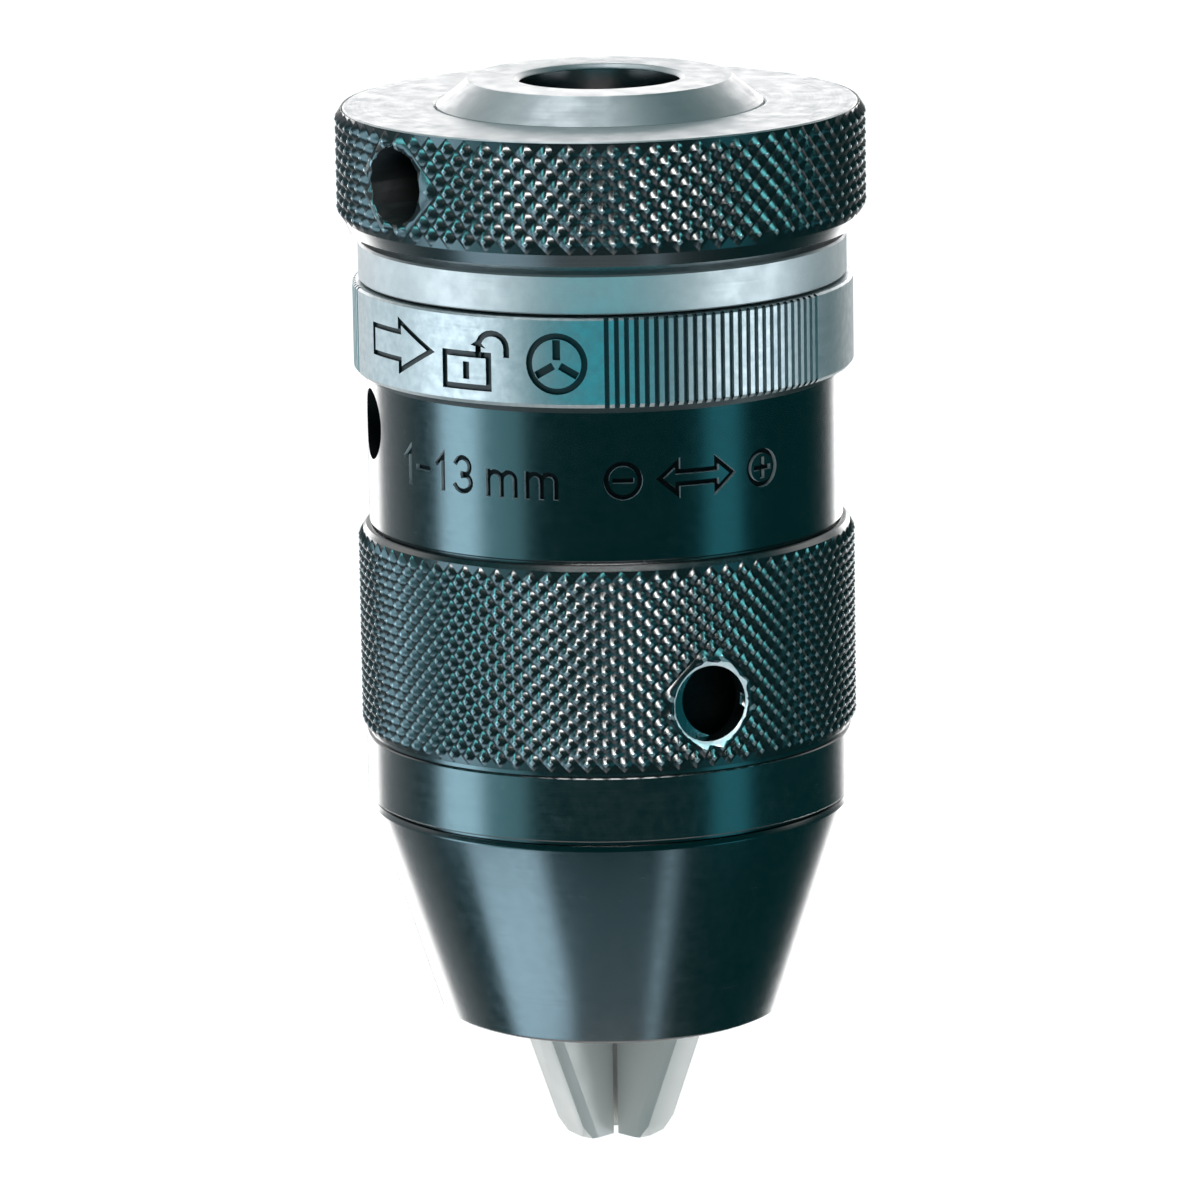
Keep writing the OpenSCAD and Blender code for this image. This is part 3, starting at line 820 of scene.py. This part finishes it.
def unlocked_mark():
    """An open padlock beside three spread jaws."""
    bm = bmesh.new()
    foot, top = -2.7, 0.5
    stroke(bm, [(0.0, foot), (5.0, foot), (5.0, top), (0.0, top)], BOLD, closed=True)
    shackle = ring_path(5.4, 1.3, 1.5, 1.4, 180, 0, 10)
    stroke(bm, [(3.9, top), (3.9, 1.3)] + shackle + [(6.9, 0.7)], BOLD)
    stroke(bm, [(2.5, -1.6), (2.5, -0.6)], BOLDER)
    centre, inner, outer, round_all = 11.9, 0.75, 1.95, 2.7
    stroke(bm, ring_path(centre, 0.0, round_all, round_all, 0, 350, 35), BOLD, closed=True)
    for turn in JAW_AZIMUTHS:
        x, y = math.cos(math.radians(turn)), math.sin(math.radians(turn))
        stroke(bm, [(centre + inner * x, inner * y), (centre + outer * x, outer * y)], BOLDEST)
    return bm


SLOTS_ROUND, SLOT_DEPTH = 160, 0.36
GRIP_ZONES = [(270.0, 26), (22.0, 26), (134.0, 27)]  # where each grip starts, and how many slots it has

ring = fluted_ring("release_ring_fluted", [
    (24.25, -28.35), (REL_R, -27.95), (REL_R, -19.8), (24.4, -19.6), (23.1, -19.6), (23.1, -21.15),
    (22.4, -21.15), (22.4, -28.35)],
    REL_R, SLOTS_ROUND, GRIP_ZONES, SLOT_DEPTH, "release_ring", "release_ring", satin_nickel)
cut(ring, [
    # the cam pocket of the pawl's tail, shallow then deep
    sector_cutter(22.0, 22.95, PAWL_AT + 9.0, PAWL_AT + 18.0, -27.25, -20.95, satin_nickel),
    sector_cutter(22.0, 23.5, PAWL_AT + 17.9, PAWL_AT + 37.0, -27.25, -20.95, satin_nickel),
    # the track of the detent ball, and the slot of the stop pin
    sector_cutter(22.0, 22.62, DETENT_AT - 4.0, DETENT_AT + 24.0, BOLT_Z - 0.75, BOLT_Z + 0.75, satin_nickel),
    sector_cutter(22.0, 23.35, STOP_AT - 2.4, STOP_AT + 22.4, BOLT_Z - 0.8, BOLT_Z + 0.8, satin_nickel),
    # the marks' floors are lined with groove_shade, painted shade
    wrap_cutter(arrow_mark(), REL_R, 205.3, -23.7, 0.3, groove_shade),
    wrap_cutter(unlocked_mark(), REL_R, 231.6, -24.0, 0.34, groove_shade)], FLUTE_CREASE)
# the floors of the slots and of the marks get painted shade
recoat(ring, groove_shade, lambda centre, normal: 24.2 < out_of(centre) < 24.4 and abs(normal.z) < 0.2)
round_wall(ring, REL_R)


# ---------------------------------------------------------------- inner parts

INNER_FINISH = {
    "ratchet_ring": ground_part, "lower_race": ground_part, "upper_race": ground_part,
    "pawl_pin": ground_part, "stop_pin": ground_part, "pawl": ground_part, "feed_screw": ground_part,
    "bearing_balls": ball_polish, "detent_ball": ball_polish, "ball_cage": cage_brass,
    "pawl_spring": spring_steel, "detent_spring": spring_steel, "snap_ring": spring_steel}
for node, finish in INNER_FINISH.items():
    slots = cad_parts[node].data.materials
    slots.clear()
    slots.append(finish)


# ---------------------------------------------------------------- studio

PURE = (1.0, 1.0, 1.0)
WHITE = (*PURE, 1.0)
COVE = (0.90, 0.90, 0.90, 1.0)
DIM = (0.40, 0.47, 0.50, 1.0)
SEA = (0.0025, 0.065, 0.070, 1.0)
# what stands round the chuck: degrees from the camera's side, positive to the right, and its colour
WORLD_RING = [(-180, COVE), (-145, COVE), (-131, DIM), (-98, SEA), (131, SEA), (151, COVE), (180, COVE)]
# the same, higher up: the cove's upper half reaches further round the sides
WORLD_HIGH_RING = [(-180, DIM), (-160, DIM), (-148, COVE), (-112, COVE), (-92, SEA), (92, SEA), (112, COVE),
                   (148, COVE), (160, DIM), (180, DIM)]
# heights that one gives way to the next over, as sines
HIGH_RISE, SKY_RISE, GROUND_FALL = (0.28, 0.40), (0.52, 0.66), (-0.82, -0.93)


def studio_world():
    """A white cove behind the chuck, and dim sea-green space in front of it and above."""
    world = bpy.data.worlds.new("studio")
    bpy.context.scene.world = world
    world.use_nodes = True
    tree = world.node_tree
    tree.nodes.clear()
    way = add(tree, "ShaderNodeTexCoord").outputs["Generated"]
    parts = add(tree, "ShaderNodeSeparateXYZ", links={0: way})
    back = add(tree, "ShaderNodeMath", {"operation": "MULTIPLY", 1: -1.0}, {0: parts.outputs["Y"]}).outputs[0]
    turn = add(tree, "ShaderNodeMath", {"operation": "ARCTAN2"}, {0: parts.outputs["X"], 1: back}).outputs[0]
    whole = {"From Min": -math.pi, "From Max": math.pi}
    share = add(tree, "ShaderNodeMapRange", whole, {"Value": turn}).outputs[0]
    sky, above = (ramp(tree, share, [((degrees + 180.0) / 360.0, colour) for degrees, colour in stops])
                  for stops in (WORLD_RING, WORLD_HIGH_RING))
    for (start, end), colour in ((HIGH_RISE, above), (SKY_RISE, SEA), (GROUND_FALL, COVE)):
        rise = {"From Min": start, "From Max": end, "interpolation_type": "SMOOTHSTEP"}
        blend = add(tree, "ShaderNodeMapRange", rise, {"Value": parts.outputs["Z"]}).outputs[0]
        flat = {7: colour} if isinstance(colour, tuple) else {}
        linked = {} if flat else {7: colour}
        sky = add(tree, "ShaderNodeMix", {"data_type": "RGBA", **flat},
                  {0: blend, 6: sky, **linked}).outputs[2]
    lit = add(tree, "ShaderNodeBackground", links={"Color": sky})
    seen = add(tree, "ShaderNodeBackground", {"Color": WHITE})
    ray = add(tree, "ShaderNodeLightPath").outputs["Is Camera Ray"]
    pick = add(tree, "ShaderNodeMixShader", links={0: ray, 1: lit.outputs[0], 2: seen.outputs[0]})
    add(tree, "ShaderNodeOutputWorld", links={"Surface": pick.outputs[0]})


def lit_pieces(name, pieces):
    """A group of pieces that a panel can be kept to."""
    group = bpy.data.collections.new(name)
    for piece in pieces:
        group.objects.link(piece)
    return group


MIDDLE = Vector((0.0, 0.0, -0.055))  # what the panels are aimed at
PANEL_DISTANCE = 0.9  # metres


def soft_light(name, azimuth, lift, size, glow, colour, group):
    """A rectangular panel that lights one group of pieces, and nothing else.

    azimuth is from the camera's side, positive to the right, and lift is upwards, both in degrees.
    size is the panel's width and height in metres, and glow how bright its face is.
    """
    data = bpy.data.lights.new(name, "AREA")
    data.shape = "RECTANGLE"
    data.size, data.size_y = size
    data.energy = glow * math.pi * size[0] * size[1]
    data.color = colour
    light = bpy.data.objects.new(name, data)
    bpy.context.scene.collection.objects.link(light)
    turn, rise = math.radians(azimuth), math.radians(lift)
    way = Vector((math.sin(turn) * math.cos(rise), -math.cos(turn) * math.cos(rise), math.sin(rise)))
    light.location = MIDDLE + PANEL_DISTANCE * way
    aim(light, MIDDLE)
    light.visible_camera = False
    light.light_linking.receiver_collection = group


studio_world()
bpy.context.scene.view_settings.view_transform = "Standard"
COOL = (0.56, 0.83, 1.0)
TEAL = (0.12, 0.80, 1.0)
DEEP = (0.20, 0.80, 0.85)
MIST = (0.82, 0.92, 1.0)
bright_parts = lit_pieces("bright_parts", [hub, cover, ring, holder_top])
inner_parts = [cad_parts[node] for node in INNER_FINISH]
black_parts = lit_pieces("black_parts", [holder, sleeve, front, nose] + inner_parts)
knurled_parts = lit_pieces("knurled_parts", [holder, front])
jaw_parts = lit_pieces("jaw_parts", jaws)
soft_light("left_softbox", -75, -6, (0.38, 0.80), 2.3, COOL, black_parts)
soft_light("left_wide_panel", -62, -6, (0.74, 0.80), 0.75, (0.36, 0.86, 1.0), black_parts)
soft_light("left_low_panel", -60, -46, (0.54, 0.36), 2.7, COOL, black_parts)
soft_light("front_low_panel", -4, -50, (0.55, 0.30), 0.30, COOL, black_parts)
soft_light("right_strip", 58, -12, (0.30, 0.60), 0.60, TEAL, black_parts)
soft_light("right_low_strip", 32, -47, (0.10, 0.36), 1.6, COOL, black_parts)
soft_light("left_high_panel", -58, 30, (0.44, 0.16), 9.0, DEEP, knurled_parts)
soft_light("right_high_panel", 58, 30, (0.44, 0.16), 9.0, DEEP, knurled_parts)
soft_light("front_high_panel", 0, 27, (0.50, 0.12), 30.0, PURE, knurled_parts)
soft_light("top_edge_panel", 0, 80, (0.50, 0.40), 6.0, PURE, black_parts)
soft_light("left_ring_panel", -70, -12, (0.84, 0.70), 1.9, MIST, bright_parts)
soft_light("left_end_panel", -118, -12, (0.34, 0.70), 1.0, MIST, bright_parts)
soft_light("right_ring_panel", 70, -12, (0.76, 0.70), 1.9, MIST, bright_parts)
soft_light("front_ring_panel", 0, -12, (0.80, 0.70), 0.42, (0.01, 0.80, 1.0), bright_parts)
soft_light("overhead_panel", -80, 76, (0.60, 0.60), 1.8, (0.90, 0.96, 1.0), bright_parts)
soft_light("left_back_strip", -152, -18, (0.34, 1.00), 3.5, PURE, black_parts)
soft_light("right_back_strip", 156, -18, (0.34, 1.00), 4.0, PURE, black_parts)
soft_light("back_top_panel", 180, 14, (1.20, 0.35), 2.6, (1.0, 0.93, 0.92), bright_parts)
soft_light("left_jaw_panel", -74, -8, (0.50, 0.60), 0.15, (1.0, 1.0, 0.88), jaw_parts)
soft_light("right_jaw_panel", 84, -6, (0.36, 0.80), 1.7, (0.95, 0.98, 1.0), jaw_parts)
soft_light("left_jaw_end_panel", -134, -29, (0.40, 0.50), 0.5, PURE, jaw_parts)
soft_light("right_jaw_end_panel", 130, -29, (0.36, 0.50), 0.5, PURE, jaw_parts)

FLOOR_REACH, FLOOR_Z = 6.0, -0.6  # metres
floor_mesh = bpy.data.meshes.new("floor")
floor_bm = bmesh.new()
bmesh.ops.create_grid(floor_bm, x_segments=1, y_segments=1, size=FLOOR_REACH)
bmesh.ops.translate(floor_bm, verts=floor_bm.verts, vec=(0, 0, FLOOR_Z))
floor_bm.to_mesh(floor_mesh)
floor_bm.free()
floor = bpy.data.objects.new("floor", floor_mesh)
bpy.context.scene.collection.objects.link(floor)
# Lit white card under the chuck, bright enough to melt into the cove behind.
card, _, card_shader = new_material("lit white card", "#F2F3F3", 0.0, 0.9)
card_shader.inputs["Emission Color"].default_value = WHITE
card_shader.inputs["Emission Strength"].default_value = 1.0
floor_mesh.materials.append(card)
floor.visible_glossy = False
floor.visible_shadow = False
